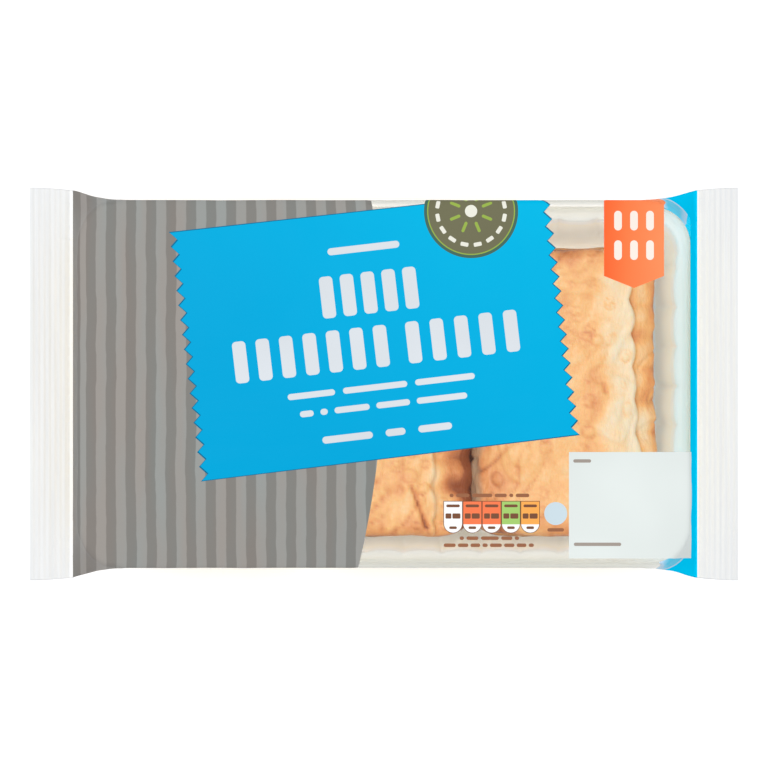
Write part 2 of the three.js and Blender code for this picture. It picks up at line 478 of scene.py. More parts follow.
def panel_layers():
    """The row of cells with bars in them, the rows of words over and under it, and the disc beside it."""
    layers = []
    for i, key in enumerate(CELL_KEYS):
        layers.append(("ink", cell_outline(i, 0, CELLS_BOTTOM)))
        layers.append(("panel_white", cell_outline(i, CELL_LINE, CELLS_BOTTOM)))
        layers.append((key, cell_outline(i, CELL_LINE, CELLS_COLOUR_END)))
        middle = CELLS_LEFT + (i + 0.5) * CELL_PITCH
        for across, down, length, height, corner in CELL_BARS:
            layers.append(("ink", bar((middle + across, CELLS_TOP - down), length, height, 0, corner)))
    for row in WORD_ROWS:
        layers += coloured("text_ink", word_row(*row))
    layers.append(("disc", circle(DISC_CENTRE, DISC_RADIUS, 40)))
    under_disc = (DISC_CENTRE[0], DISC_CENTRE[1] - DISC_BAR[0])
    return layers + [("text_ink", bar(under_disc, DISC_BAR[1], TEXT_HEIGHT))]


def painted_highlight_layers():
    """Painted highlights: pale crescents at the window's corners, where the film bends over the tray's round
    corners.
    """
    layers = []
    for key, inset in (("gloss_line", 0.0), ("gloss", 0.4)):
        outer = arc(WINDOW_CORNER, WINDOW_RADIUS - 0.01 - inset, *HIGHLIGHT_OUTER)
        inner = arc(HIGHLIGHT_CORNER, HIGHLIGHT_RADIUS, *HIGHLIGHT_INNER)
        outline = [sheet_from_plan(x, y) for x, y in outer + inner]
        layers += coloured(key, (outline, [(u, -v) for u, v in reversed(outline)]))
    return layers


def date_box_layers():
    """The box, which is straight as seen from above though the film bends down under it, and two words."""
    outline = resample(rectangle(*DATE_BOX), 2.0)
    outline = [sheet_from_plan(x, y) if abs(x) > 80 else (x, y) for x, y in outline]
    words = [bar((x, y), length, TEXT_HEIGHT) for x, y, length in DATE_BARS]
    return [("date_box", outline)] + coloured("date_ink", words)


def print_layers():
    """Every outline of the print as (key, outline), each covering those before it."""
    label = [("label_line", label_outline(0)), ("label", label_outline(LABEL_LINE))]
    label += coloured("cream", label_bars())
    return painted_highlight_layers() + date_box_layers() + label + badge_layers() + tag_layers() + panel_layers()


def blue_edge():
    """The line where the blue end begins, round the whole girth."""
    reach = math.degrees(math.acos((WINDOW_END - WINDOW_CORNER[0]) / WINDOW_RADIUS))
    corner = arc(WINDOW_CORNER, WINDOW_RADIUS, WINDOW_CORNER_START, reach, 16)
    top = [sheet_from_plan(x, y) for x, y in corner]
    straight = [sheet_from_plan(WINDOW_END, mix(corner[-1][1], 0, i / 18)) for i in range(1, 19)]
    under = [(UNDER_BLUE, v) for v in steps_between(HALF_GIRTH, BASE_V + 1.2, 2.0)]
    side = [(top[0][0], v) for v in steps_between(BASE_V - 0.8, top[0][1], 1.0)[:-1]]
    half = under + side + top + straight
    return half + [(u, -v) for u, v in reversed(half[:-1])]


def grey_edge():
    """The line where the stripes end, round the whole girth."""
    first, control, last = (Vector(p) for p in GREY_EDGE)
    curve = [tuple(bezier(first, control, last, i / 60)) for i in range(61)]
    upper = [(first.x, mix(HALF_GIRTH, RIM_V, i / 60)) for i in range(60)]
    lower = [(last.x, mix(-RIM_V, -HALF_GIRTH, i / 60)) for i in range(1, 61)]
    return upper + curve + lower


# ---------- The sheet's mesh

BEND_REACH = 2.4  # the mesh is finer this close to the folds along the pack
STEPS_PER_CRIMP = 7
OUTLINE_STEP = 1.6
GRID_GAP = 0.4  # the grid's points keep this far from the print's outlines
BACK_V = BASE_V + 1  # where the back panel begins


def joined(*spans):
    """Places along a line in several spans, each as (from, to, step)."""
    return sorted({value for span in spans for value in steps_between(*span)})


def grid_lines():
    """Places of the sheet's mesh lines, closer together where the film bends."""
    half_u = joined(
        (0, CLOSING_START, 2.0), (CLOSING_START, 96.5, 1.5), (96.5, 101.5, 0.5), (101.5, SHEET_ROOT, 1.3))
    half_v = joined(
        (0, RIM_V - BEND_REACH, 1.9), (RIM_V - BEND_REACH, RIM_V + BEND_REACH, 0.5),
        (RIM_V + BEND_REACH, FOLD_V, 2.2), (FOLD_V, BASE_V - BEND_REACH, 2.2),
        (BASE_V - BEND_REACH, BASE_V + BEND_REACH, 0.6), (BASE_V + BEND_REACH, HALF_GIRTH, 3.0))
    crimp_u = steps_between(SHEET_ROOT, SHEET_TIP, SEAL_DEPTH / CRIMP_COUNT / STEPS_PER_CRIMP)
    wide = joined(
        (0, RIM_V - 3, 4.0), (RIM_V + 3, FOLD_V - 3, 4.0), (FOLD_V + 3, BASE_V - 3, 4.0),
        (BASE_V + 3, HALF_GIRTH, 4.0))
    folds = [v + side for v in (RIM_V, FOLD_V, BASE_V) for side in (-0.3, 0, 0.3)]
    return half_u, half_v, crimp_u, sorted(folds + wide)


def both_signs(values):
    return sorted({-value for value in values} | set(values))


def sheet_points():
    """The grid of the sheet, with extra points over the tray's round corners."""
    half_u, half_v, crimp_u, crimp_v = grid_lines()
    points = {(u, v) for u in both_signs(half_u) for v in both_signs(half_v)}
    points |= {(sign * u, v) for u in crimp_u for v in both_signs(crimp_v) for sign in (-1, 1)}
    corner_u = steps_between(80, 100, 0.75)
    corner_v = steps_between(RIM_V - RIM_CORNER, RIM_V - BEND_REACH, 0.9)
    points |= {(su * u, sv * v) for u in corner_u for v in corner_v for su in (-1, 1) for sv in (-1, 1)}
    return points


def inside(points, outline):
    """Which points lie inside an outline, as a mask."""
    px, py = points[:, 0], points[:, 1]
    mask = np.zeros(len(points), bool)
    ring = np.array(outline)
    near = np.flatnonzero(
        (px >= ring[:, 0].min()) & (px <= ring[:, 0].max())
        & (py >= ring[:, 1].min()) & (py <= ring[:, 1].max())
    )
    x, y = px[near], py[near]
    found = np.zeros(len(near), bool)
    for (ax, ay), (bx, by) in zip(ring, np.roll(ring, -1, axis=0)):
        if ay == by:
            continue
        crosses = (ay > y) != (by > y)
        found ^= crosses & (x < (bx - ax) * (y - ay) / (by - ay) + ax)
    mask[near] = found
    return mask


class Outlines:
    """Lines that the sheet's triangles have to follow."""

    def __init__(self):
        self.points = []
        self.edges = []

    def add(self, line, closed):
        first = len(self.points)
        self.points += line
        count = len(line)
        self.edges += [(first + i, first + i + 1) for i in range(count - 1)]
        if closed:
            self.edges.append((first + count - 1, first))


def drop_close(points, lines):
    """The grid's points that aren't right beside a line's point."""
    def cell(point):
        return round(point[0] / GRID_GAP), round(point[1] / GRID_GAP)
    taken = {cell(point) for point in lines}
    return [point for point in sorted(points) if cell(point) not in taken]


def sheet_lines(layers):
    """The print's outlines and edges, the seals' roots and the back panel's edges, as lines of the mesh."""
    lines = Outlines()
    for _, outline in layers:
        lines.add(outline, True)
    for line in (blue_edge(), grey_edge()):
        lines.add(line, False)
    for u in (-SHEET_ROOT, SHEET_ROOT, SHEET_ROOT + PRINT_END):
        lines.add([(u, v) for v in both_signs(grid_lines()[1])], False)
    for v in (-BACK_V, BACK_V):
        lines.add([(u, v) for u in steps_between(-SHEET_ROOT, SHEET_ROOT, 2.0)], False)
    return lines


def edge_u(line, v):
    """U of a line that runs round the girth, at each v."""
    rising = np.array(line)[::-1]
    return np.interp(v, rising[:, 1], rising[:, 0])


def print_keys(middles, layers):
    """The key of the print on each triangle, from the triangles' middles."""
    keys = np.array(["window"] * len(middles), dtype="U12")
    u, v = middles[:, 0], middles[:, 1]
    keys[np.abs(v) > BACK_V] = "back"
    keys[u < edge_u(grey_edge(), v)] = "grey"
    keys[u > edge_u(blue_edge(), v)] = "blue_end"
    for key, outline in layers:
        keys[inside(middles, outline)] = key
    keys[(u < -SHEET_ROOT) | (u > SHEET_ROOT + PRINT_END)] = "seal"
    return keys


def triangulated_sheet():
    """Corners and triangles of the flat sheet, with the key of the print on each triangle."""
    layers = [(key, resample(outline, OUTLINE_STEP)) for key, outline in print_layers()]
    lines = sheet_lines(layers)
    grid = drop_close(sheet_points(), lines.points)
    points = [Vector(p) for p in lines.points + grid]
    corners, _, faces, _, _, _ = delaunay_2d_cdt(points, lines.edges, [], 0, 1e-4, False)
    flat = np.array([tuple(c) for c in corners])
    tris = np.array([f for f in faces if len(f) == 3])
    return flat, tris, print_keys(flat[tris].mean(axis=1), layers)


def folded_sheet(flat, tris):
    """The sheet's corners in place round the pack, wrinkled, in millimetres."""
    co = np.array([tuple(film_point(u, v)) for u, v in flat])
    a, b, c = (co[tris[:, i]] for i in range(3))
    face_normals = np.cross(b - a, c - a)
    normals = np.zeros_like(co)
    for i in range(3):
        np.add.at(normals, tris[:, i], face_normals)
    normals /= np.linalg.norm(normals, axis=1, keepdims=True) + 1e-12
    lift = np.array([film_relief(u, v) for u, v in flat])
    return co + normals * lift[:, None]


# ---------- Materials

INK_ROUGHNESS = 0.4
INK_SPECULAR = 0.02
INK_CLOUD = 22.0  # scale of an ink's unevenness
BLUE_END = (0, 200, 247)
BLUE_END_SPECULAR = 0.0  # it slopes away, where more gloss would turn it pale

INKS = {
    "label_line": (14, 108, 146),
    "cream": (213, 219, 225),
    "badge": (110, 109, 84),
    "badge_rim": (70, 104, 92),
    "lime": (146, 172, 76),
    "badge_cream": (226, 226, 214),
    "tag_cream": (243, 232, 222),
    "panel_white": (248, 248, 248),
    "panel_red": (243, 124, 82),
    "panel_green": (163, 203, 112),
    "panel_amber": (250, 172, 88),
    "ink": (122, 82, 62),
    "text_ink": (152, 102, 74),
    "disc": (200, 217, 226),
    "date_box": (221, 228, 226),
    "date_ink": (160, 150, 142),
    # Painted highlight: a thin line along the window's round corners
    "gloss_line": (178, 208, 228),
    "back": (232, 233, 232),
}
# A broad painted sheen on the label: its blue brightens towards the top right
LABEL_SHEEN_STOPS = ((0.15, (0, 162, 213)), (0.55, (0, 170, 219)), (1.0, (0, 182, 226)))
TAG_STOPS = ((0.0, (250, 104, 54)), (0.35, (251, 124, 72)), (1.0, (251, 142, 92)))
# Colours of the painted highlight over the window's corners, pale at its tips
HIGHLIGHT_BLUE = (92, 197, 228)
HIGHLIGHT_PALE = (196, 214, 238)
HIGHLIGHT_STOPS = ((0.0, HIGHLIGHT_PALE), (0.25, HIGHLIGHT_BLUE), (0.62, HIGHLIGHT_BLUE), (0.95, HIGHLIGHT_PALE))

DARK_STRIPE = ((0.35, (127, 129, 126)), (0.65, (131, 126, 121)))  # cool, then warm
LIGHT_STRIPE = ((0.35, (149, 153, 151)), (0.65, (153, 148, 143)))
STRIPE_WAVER = 1.6
STRIPES_CROWD = (-96.5, -99.5)  # X from which, and to which, they draw together on the bend to the end

# Painted light and shade of the seal's ribs, lighter on the ridges
SEAL_RIB_SHADING = ((0.3, (225, 227, 229)), (0.7, (232, 234, 236)))
SEAL_ROOT_WHITE = (246, 248, 250)  # a narrow band where the print stops
SEAL_ROOT_BAND = (0.5, 0.1)  # it fades in between these distances from the print's end
# The faint haze of the whole clear film, which is also the colour of its painted sheen
HAZE_AND_SHEEN = (206, 208, 202)
SHEEN_ACROSS = (56.6, 58.8)  # Y where a painted sheen turns the film milky over the tray's long edges
SHEEN_BELOW_RIM = (6.0, 1.0)  # it fades in, upwards, between these distances below the rim
SHEEN_MOST = 0.7
HAZE_LEAST = 0.03

PASTRY_STOPS = (
    (0.0, (238, 222, 190)),
    (0.2, (242, 209, 162)),
    (0.42, (242, 186, 120)),
    (0.62, (228, 156, 96)),
    (0.8, (200, 122, 66)),
    (1.0, (150, 76, 32)),
)
# Grey of the painted shade on the rolls' left flanks
SHADE_GREY = (170, 146, 118)
MEAT_STOPS = ((0.3, (150, 98, 76)), (0.5, (183, 128, 102)), (0.75, (214, 170, 142)))


def linear(r, g, b):
    """A colour on screen, 0 to 255, as linear light."""
    def channel(c):
        c /= 255
        return c / 12.92 if c <= 0.04045 else ((c + 0.055) / 1.055) ** 2.4
    return (channel(r), channel(g), channel(b), 1.0)


def scaled(colour, share):
    """A colour on screen as linear light, made darker or lighter."""
    return tuple(min(1.0, c * share) for c in linear(*colour)[:3]) + (1.0,)


def as_light(colour):
    return linear(*colour) if len(colour) == 3 else colour


class Nodes:
    """A node material under construction. Colours with three values are on screen, with four linear."""

    def __init__(self, name, roughness, specular=0.5):
        self.material = bpy.data.materials.new(name)
        self.material.use_nodes = True
        self.tree = self.material.node_tree
        self.shader = self.tree.nodes["Principled BSDF"]
        self.set(("Roughness", roughness), ("Specular IOR Level", specular))

    def set(self, *values):
        for name, value in values:
            self.shader.inputs[name].default_value = value

    def fill(self, socket, value):
        """Gives a socket a value or a colour, or links it to another node's output."""
        if isinstance(value, bpy.types.NodeSocket):
            self.tree.links.new(value, socket)
        else:
            socket.default_value = as_light(value) if isinstance(value, tuple) else value

    def add(self, kind, inputs=(), **values):
        """A new node, with its inputs by name or by number."""
        node = self.tree.nodes.new(kind)
        for name, value in values.items():
            setattr(node, name, value)
        for name, value in dict(inputs).items():
            self.fill(node.inputs[name], value)
        return node

    def math(self, operation, a, b=0.0, c=0.0):
        return self.add("ShaderNodeMath", {0: a, 1: b, 2: c}, operation=operation).outputs[0]

    def times(self, value, factor, offset=0.0):
        return self.math("MULTIPLY_ADD", value, factor, offset)

    def place(self):
        return self.add("ShaderNodeTexCoord").outputs["Object"]

    def axes(self, vector=None):
        """X, Y and Z of a vector, or of the shaded point."""
        return self.add("ShaderNodeSeparateXYZ", {0: vector or self.place()}).outputs

    def attribute(self, name, output="Fac"):
        return self.add("ShaderNodeAttribute", attribute_name=name).outputs[output]

    def noise(self, vector, scale, detail=2.0, rough=0.5):
        inputs = {"Vector": vector, "Scale": scale, "Detail": detail, "Roughness": rough}
        return self.add("ShaderNodeTexNoise", inputs).outputs["Fac"]

    def cloud(self, scale):
        """A soft unevenness round zero."""
        return self.times(self.noise(self.place(), scale), 0.3, -0.15)

    def stretched(self, vector, scale, turn=(0, 0, 0)):
        inputs = {"Vector": vector, "Scale": Vector(scale), "Rotation": Vector(turn)}
        return self.add("ShaderNodeMapping", inputs).outputs["Vector"]

    def span(self, value, low, high, top=1.0, soft=False):
        """Rises from 0 where the value is low to top where it is high."""
        inputs = {"Value": value, "From Min": low, "From Max": high, "To Max": top}
        kind = "SMOOTHSTEP" if soft else "LINEAR"
        return self.add("ShaderNodeMapRange", inputs, interpolation_type=kind).outputs["Result"]

    def ramp(self, factor, stops):
        node = self.add("ShaderNodeValToRGB", {"Fac": factor})
        elements = node.color_ramp.elements
        while len(elements) < len(stops):
            elements.new(1.0)
        for element, (place, colour) in zip(elements, stops):
            element.position = place
            element.color = as_light(colour)
        return node.outputs["Color"]

    def blend(self, factor, a, b):
        return self.add("ShaderNodeMix", {0: factor, 6: a, 7: b}, data_type="RGBA").outputs[2]

    def bump(self, height, distance, strength=1.0):
        inputs = {"Height": height, "Distance": distance, "Strength": strength}
        return self.add("ShaderNodeBump", inputs).outputs["Normal"]

    def finish(self, colour=None, normal=None, roughness=None):
        for name, output in (("Base Color", colour), ("Normal", normal), ("Roughness", roughness)):
            if output is not None:
                self.fill(self.shader.inputs[name], output)
        return self.material


def film_surface(nodes):
    """The fine creasing of thin film, as a normal."""
    place = nodes.place()
    fine = nodes.noise(nodes.stretched(place, (140, 420, 140)), 1.0, 3.0)
    height = nodes.math("ADD", nodes.math("MULTIPLY", fine, 0.35), nodes.noise(place, 60.0))
    return nodes.bump(height, 0.00025, 0.5)


def ink_material(name, colour, shift=0.05, specular=INK_SPECULAR):
    """Ink on film: one colour that is a little uneven."""
    nodes = Nodes(name, INK_ROUGHNESS, specular)
    stops = ((0.3, scaled(colour, 1 - shift)), (0.7, scaled(colour, 1 + shift)))
    uneven = nodes.ramp(nodes.noise(nodes.place(), INK_CLOUD), stops)
    rough = nodes.times(nodes.noise(nodes.place(), 300.0), 0.12, 0.34)
    return nodes.finish(uneven, film_surface(nodes), rough)


def label_material():
    """The label's blue, brighter and a little greener towards the top right: a broad painted sheen."""
    nodes = Nodes("label_blue", INK_ROUGHNESS, INK_SPECULAR)
    u, v, _ = nodes.axes(nodes.attribute("sheet", "Vector"))
    lean = nodes.times(v, 0.006, nodes.times(u, 0.004, 0.35))
    colour = nodes.ramp(nodes.math("ADD", lean, nodes.cloud(18.0)), LABEL_SHEEN_STOPS)
    return nodes.finish(colour, film_surface(nodes))


def leaning_material(name, ends, cloud_scale, stops):
    """Ink whose colour changes along X, between two ends."""
    nodes = Nodes(name, INK_ROUGHNESS, INK_SPECULAR)
    across = nodes.span(nodes.axes()[0], ends[0] * MM, ends[1] * MM)
    lean = nodes.math("ADD", across, nodes.cloud(cloud_scale))
    return nodes.finish(nodes.ramp(lean, stops), film_surface(nodes))


def stripe_material():
    """Grey stripes across the pack, with slightly wavering edges and a slow drift of tint."""
    nodes = Nodes("grey_stripes", INK_ROUGHNESS, INK_SPECULAR)
    place = nodes.place()
    along = nodes.axes(place)[0]
    waver = nodes.noise(nodes.stretched(place, (20, 60, 20)), 1.0, 3.0, 0.6)
    x = nodes.times(along, 1 / MM, STRIPE_SHIFT - STRIPE_WAVER / 2)
    x = nodes.times(waver, STRIPE_WAVER, x)
    start, end = STRIPES_CROWD
    x = nodes.math("ADD", x, nodes.span(along, start * MM, end * MM, -STRIPE_WAVER, soft=True))
    share = nodes.math("DIVIDE", nodes.math("PINGPONG", x, STRIPE_PITCH / 2), STRIPE_PITCH / 2)
    tint = nodes.noise(nodes.stretched(place, (110, 12, 12)), 1.0)
    dark = nodes.ramp(tint, DARK_STRIPE)
    light = nodes.ramp(tint, LIGHT_STRIPE)
    colour = nodes.blend(nodes.span(share, 0.44, 0.56, soft=True), dark, light)
    return nodes.finish(colour, film_surface(nodes))


def seal_material():
    """White-backed film, pressed into ridges, with painted light and shade along them."""
    nodes = Nodes("seal_white", 0.45, 0.2)
    place = nodes.place()
    ribs = nodes.noise(nodes.stretched(place, (900, 20, 20)), 1.0)
    inner = SEAL_ROOT + PRINT_END
    from_middle = nodes.math("ABSOLUTE", nodes.axes(place)[0])
    start, end = ((inner + beyond) * MM for beyond in SEAL_ROOT_BAND)
    root = nodes.span(from_middle, start, end)
    colour = nodes.blend(root, nodes.ramp(ribs, SEAL_RIB_SHADING), SEAL_ROOT_WHITE)
    return nodes.finish(colour, nodes.bump(ribs, 0.0002, 0.5))


def window_material():
    """Clear film, too thin to bend light: glossy, faintly hazy, and with a painted milky sheen where it bends
    over the tray's long edges.
    """
    nodes = Nodes("clear_film", 0.16, 0.3)
    nodes.set(("Base Color", linear(*HAZE_AND_SHEEN)))
    _, y, z = nodes.axes()
    inner, outer = SHEEN_ACROSS
    low, high = (RIM_HEIGHT - below for below in SHEEN_BELOW_RIM)
    # A painted sheen: whiter and more opaque over the tray's long edges, near the rim's height
    outward = nodes.span(nodes.math("ABSOLUTE", y), inner * MM, outer * MM, SHEEN_MOST)
    painted_sheen = nodes.math("MULTIPLY", outward, nodes.span(z, low * MM, high * MM))
    nodes.fill(nodes.shader.inputs["Alpha"], nodes.math("ADD", painted_sheen, HAZE_LEAST))
    return nodes.finish(None, film_surface(nodes))


def pastry_material():
    """Baked puff pastry: cream where it was shielded, golden to brown where it caught the heat, with painted
    shade and highlights carried in its attributes.
    """
    nodes = Nodes("pastry", 0.4, 0.45)
    place = nodes.place()
    patch = nodes.noise(place, 130.0, 4.0, 0.6)
    fleck = nodes.noise(place, 620.0, 3.0, 0.65)
    level = nodes.times(nodes.math("SUBTRACT", patch, 0.5), 0.26, nodes.attribute("bake"))
    level = nodes.times(nodes.math("SUBTRACT", fleck, 0.5), 0.2, level)
    # Blends in the painted grey shade on the left flanks
    colour = nodes.blend(nodes.attribute("raw"), nodes.ramp(level, PASTRY_STOPS), SHADE_GREY)
    flake = nodes.noise(nodes.stretched(place, (420, 150, 420), (0, 0, 0.7)), 1.0, 5.0, 0.65)
    blister = nodes.add("ShaderNodeTexVoronoi", {"Vector": place, "Scale": 260.0}, feature="SMOOTH_F1")
    height = nodes.times(blister.outputs["Distance"], 0.5, flake)
    rough = nodes.times(fleck, 0.3, 0.25)
    nodes.set(("Subsurface Weight", 0.25), ("Subsurface Scale", 0.0025))
    nodes.set(("Subsurface Radius", (1.0, 0.5, 0.22)))
    return nodes.finish(colour, nodes.bump(height, 0.0008, 0.8), rough)


def meat_material():
    """Cooked sausage meat at the cut ends."""
    nodes = Nodes("sausage_meat", 0.55, 0.4)
    grain = nodes.noise(nodes.place(), 700.0, 5.0, 0.7)
    return nodes.finish(nodes.ramp(grain, MEAT_STOPS), nodes.bump(grain, 0.0008, 0.8))


def film_materials():
    materials = {key: ink_material("ink_" + key, colour) for key, colour in INKS.items()}
    materials["label"] = label_material()
    materials["grey"] = stripe_material()
    materials["tag"] = leaning_material("tag_orange", TAG_SIDES, 60.0, TAG_STOPS)
    # The painted highlight over the window's corners
    materials["gloss"] = leaning_material("corner_painted_highlight", HIGHLIGHT_TIPS, 240.0, HIGHLIGHT_STOPS)
    materials["blue_end"] = ink_material("ink_blue_end", BLUE_END, 0.03, BLUE_END_SPECULAR)
    materials["seal"] = seal_material()
    materials["window"] = window_material()
    return materials


# ---------- Making pieces


def in_scene(name, data):
    thing = bpy.data.objects.new(name, data)
    bpy.context.scene.collection.objects.link(thing)
    return thing


def mesh_piece(name, corners, faces, materials, material_index=None, attributes=None):
    """A smooth mesh from corners in millimetres, riding on the pack."""
    mesh = bpy.data.meshes.new(name)
    mesh.from_pydata([tuple(c) for c in np.asarray(corners) * MM], [], [tuple(f) for f in faces])
    for material in materials:
        mesh.materials.append(material)
    mesh.polygons.foreach_set("use_smooth", [True] * len(mesh.polygons))
    if material_index is not None:
        mesh.polygons.foreach_set("material_index", material_index)
    for key, (kind, values) in (attributes or {}).items():
        layer = mesh.attributes.new(key, kind, "POINT")
        field = "vector" if kind == "FLOAT_VECTOR" else "value"
        layer.data.foreach_set(field, np.asarray(values, float).ravel())
    mesh.update()
    piece = in_scene(name, mesh)
    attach(piece, "root")
    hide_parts(NODE)
    return piece


FILM_PIECES = (
    ("striped_print", "printed_film", ("grey",)),
    # The blue end's piece also carries the painted highlights at the window's corners
    ("blue_end_print", "printed_film", ("blue_end", "gloss", "gloss_line")),
    ("label_print", "printed_film", ("label_line", "label", "cream")),
    ("badge_print", "printed_film", ("badge", "badge_rim", "lime", "badge_cream")),
    ("tag_print", "printed_film", ("tag", "tag_cream")),
    ("panel_print", "printed_film",
     ("panel_white", "panel_red", "panel_green", "panel_amber", "ink", "text_ink", "disc")),
    ("date_box_print", "printed_film", ("date_box", "date_ink")),
    ("back_print", "printed_film", ("back",)),
    ("window_film", "clear_film", ("window",)),
    ("end_seals", "white_seal", ("seal",)),
)


def lets_light_in(piece):
    """The print is as thin as the clear film, and light reaches the food through it."""
    piece.visible_shadow = False
    piece.visible_diffuse = False


def film_pieces():
    flat, tris, keys = triangulated_sheet()
    corners = folded_sheet(flat, tris)
    materials = film_materials()
    for name, slot, own_keys in FILM_PIECES:
        chosen = np.isin(keys, own_keys)
        used, local = np.unique(tris[chosen], return_inverse=True)
        faces = local.reshape(-1, 3)
        index = [own_keys.index(key) for key in keys[chosen]]
        sheet = np.column_stack((flat[used], np.zeros(len(used))))
        piece = mesh_piece(
            name, corners[used], faces, [materials[key] for key in own_keys],
            index, {"sheet": ("FLOAT_VECTOR", sheet)},
        )
        lets_light_in(piece)


def back_seam():
    """The flap of film under the base, sealed along its length and pressed flat."""
    rows = steps_between(-SHEET_TIP, SHEET_TIP, 1.6)
    across = steps_between(-SEAM_WIDTH / 2, SEAM_WIDTH / 2, SEAM_WIDTH / SEAM_RIBS / 6)
    corners = []
    for u in rows:
        for y in across:
            v = math.copysign(HALF_GIRTH - abs(y), y if y else 1)
            point = film_point(u, v)
            out = film_normal(u, v)
            rib = SEAM_RIB_HEIGHT * math.cos(y / SEAM_WIDTH * SEAM_RIBS * 2 * math.pi)
            corners.append(point + out * (SEAM_GAP + rib))
    faces = grid_faces(len(rows), len(across))
    piece = mesh_piece("back_seam", corners, faces, [seal_material()])
    thicken(piece, SEAM_THICKNESS)
    lets_light_in(piece)


def film_normal(u, v):
    step = 0.05
    along = film_point(u + step, v) - film_point(u - step, v)
    near_v = math.copysign(abs(v) - step, v)
    round_it = (film_point(u, v) - film_point(u, near_v)) * (1 if v > 0 else -1)
    return along.cross(round_it).normalized()


def grid_faces(rows, columns, wrap=False):
    """Quads of a grid whose corners are listed row by row."""
    faces = []
    for r in range(rows - 1):
        for c in range(columns if wrap else columns - 1):
            a, b = r * columns + c, r * columns + (c + 1) % columns
            faces.append((a, b, b + columns, a + columns))
    return faces


def thicken(piece, thickness):
    modifier = piece.modifiers.new("thickness", "SOLIDIFY")
    modifier.thickness = thickness * MM
    modifier.offset = 0


# ---------- The tray

TRAY_LENGTH = 197.6
TRAY_WIDTH = 115.9
TRAY_CORNER = 12.0
TRAY_TOP = 49.3
TRAY_Y = -0.55
SKIRT = (0.6, 0.15)  # how far the lip turns out beyond the rim, at the ends and at the sides
FLUTE_PITCH_LONG = 12.6
FLUTE_PITCH_SHORT = 12.8
FLUTE_DEPTH = 1.2
FLUTE_BULGE = 0.45  # the lower, the squarer
FLUTE_FADE = 5  # beside the corners
LONG_STEPS = 168
SHORT_STEPS = 96
CORNER_STEPS = 14
PLASTIC_THICKNESS = 0.3

# The tray's wall from its outer lip to its base: inset from the rim, where -1 is the skirt's edge, height,
# and share of the flutes' depth
TRAY_PROFILE = (
    (-1.0, 46.9, 0), (-0.85, 47.5, 0), (-0.6, 48.2, 0), (-0.2, 48.9, 0), (0.3, 49.25, 0), (0.9, 49.3, 0),
    (1.4, 49.0, 0), (2.0, 48.85, 0.05), (2.5, 48.8, 0.6), (2.95, 48.75, 1), (3.2, 48.3, 1), (3.5, 47.2, 1),
    (4.6, 43.0, 1), (5.8, 38.0, 1), (6.9, 32.0, 1), (7.7, 26.0, 1), (8.6, 19.0, 0.8), (9.5, 13.0, 0.4),
    (10.6, 7.5, 0.2), (11.5, 4.2, 0.1), (12.5, 2.3, 0), (13.9, 1.3, 0), (16.2, 1.1, 0), (22.0, 1.1, 0),
    (33.0, 1.1, 0), (44.0, 1.1, 0),
)

# Colours up the wall, from its foot at 0 to just below the rim: a painted warm reflection of the pastry, kept
# bright as painted light coming through the wall
TRAY_WALL_REFLECTION = (
    (0.0, (255, 228, 176)),
    (0.3, (255, 223, 154)),
    (0.88, (255, 229, 166)),
    (0.95, (238, 228, 204)),
)
TRAY_RIM = (206, 213, 206)
BLUE_CAST_BAND = (80.0, 98.0)  # X over which a painted blue cast of the blue end grows in the plastic
# A painted blue cast on the rim, and painted pale glints at the foot, lighter than the roll's shade there
TRAY_RIM_BLUE_CAST = (204, 239, 246)
TRAY_FOOT_GLINT = (226, 255, 255)
FOOT_GLINT_BAND = (0.24, 0.12)  # share of the height over which painted pale glints grow at the foot, downwards
FOOT_GLINT_GAIN = 1.8
RIM_BAND = (0.95, 0.985)


def tray_outline(inset, flute):
    """One level of the tray's wall, seen from above."""
    skirt_x, skirt_y = SKIRT if inset < 0 else (1.0, 1.0)
    half_x, half_y = TRAY_LENGTH / 2 - inset * skirt_x, TRAY_WIDTH / 2 - inset * skirt_y
    corner = max(2.0, TRAY_CORNER - 0.3 * inset)
    points = []
    sides = (
        ((half_x, 0), (0, 1), half_y - corner, FLUTE_PITCH_SHORT, 0.0, SHORT_STEPS),
        ((0, half_y), (-1, 0), half_x - corner, FLUTE_PITCH_LONG, 0.5, LONG_STEPS),
        ((-half_x, 0), (0, -1), half_y - corner, FLUTE_PITCH_SHORT, 0.0, SHORT_STEPS),
        ((0, -half_y), (1, 0), half_x - corner, FLUTE_PITCH_LONG, 0.5, LONG_STEPS),
    )
    for (mx, my), (dx, dy), reach, pitch, phase, steps in sides:
        for i in range(steps):
            s = mix(-reach, reach, i / steps)
            swell = abs(math.sin(math.pi * (s / pitch + phase))) ** FLUTE_BULGE
            fade = smooth((reach - abs(s)) / FLUTE_FADE)
            inward = flute * FLUTE_DEPTH * swell * fade
            points.append((mx + dx * s - dy * inward, my + dy * s + dx * inward))
        centre = (mx + dx * reach - dy * corner, my + dy * reach + dx * corner)
        start = math.degrees(math.atan2(-dx, dy))
        points += arc(centre, corner, start, start + 90, CORNER_STEPS)[:-1]
    return points


def tray():
    corners = []
    for inset, height, flute in TRAY_PROFILE:
        corners += [(x, y + TRAY_Y, height) for x, y in tray_outline(inset, flute)]
    columns = len(corners) // len(TRAY_PROFILE)
    faces = grid_faces(len(TRAY_PROFILE), columns, wrap=True)
    last = (len(TRAY_PROFILE) - 1) * columns
    faces.append(tuple(range(last, last + columns)))
    piece = mesh_piece("tray", corners, faces, [tray_material()])
    thicken(piece, PLASTIC_THICKNESS)
    piece.visible_shadow = False  # light goes through clear plastic


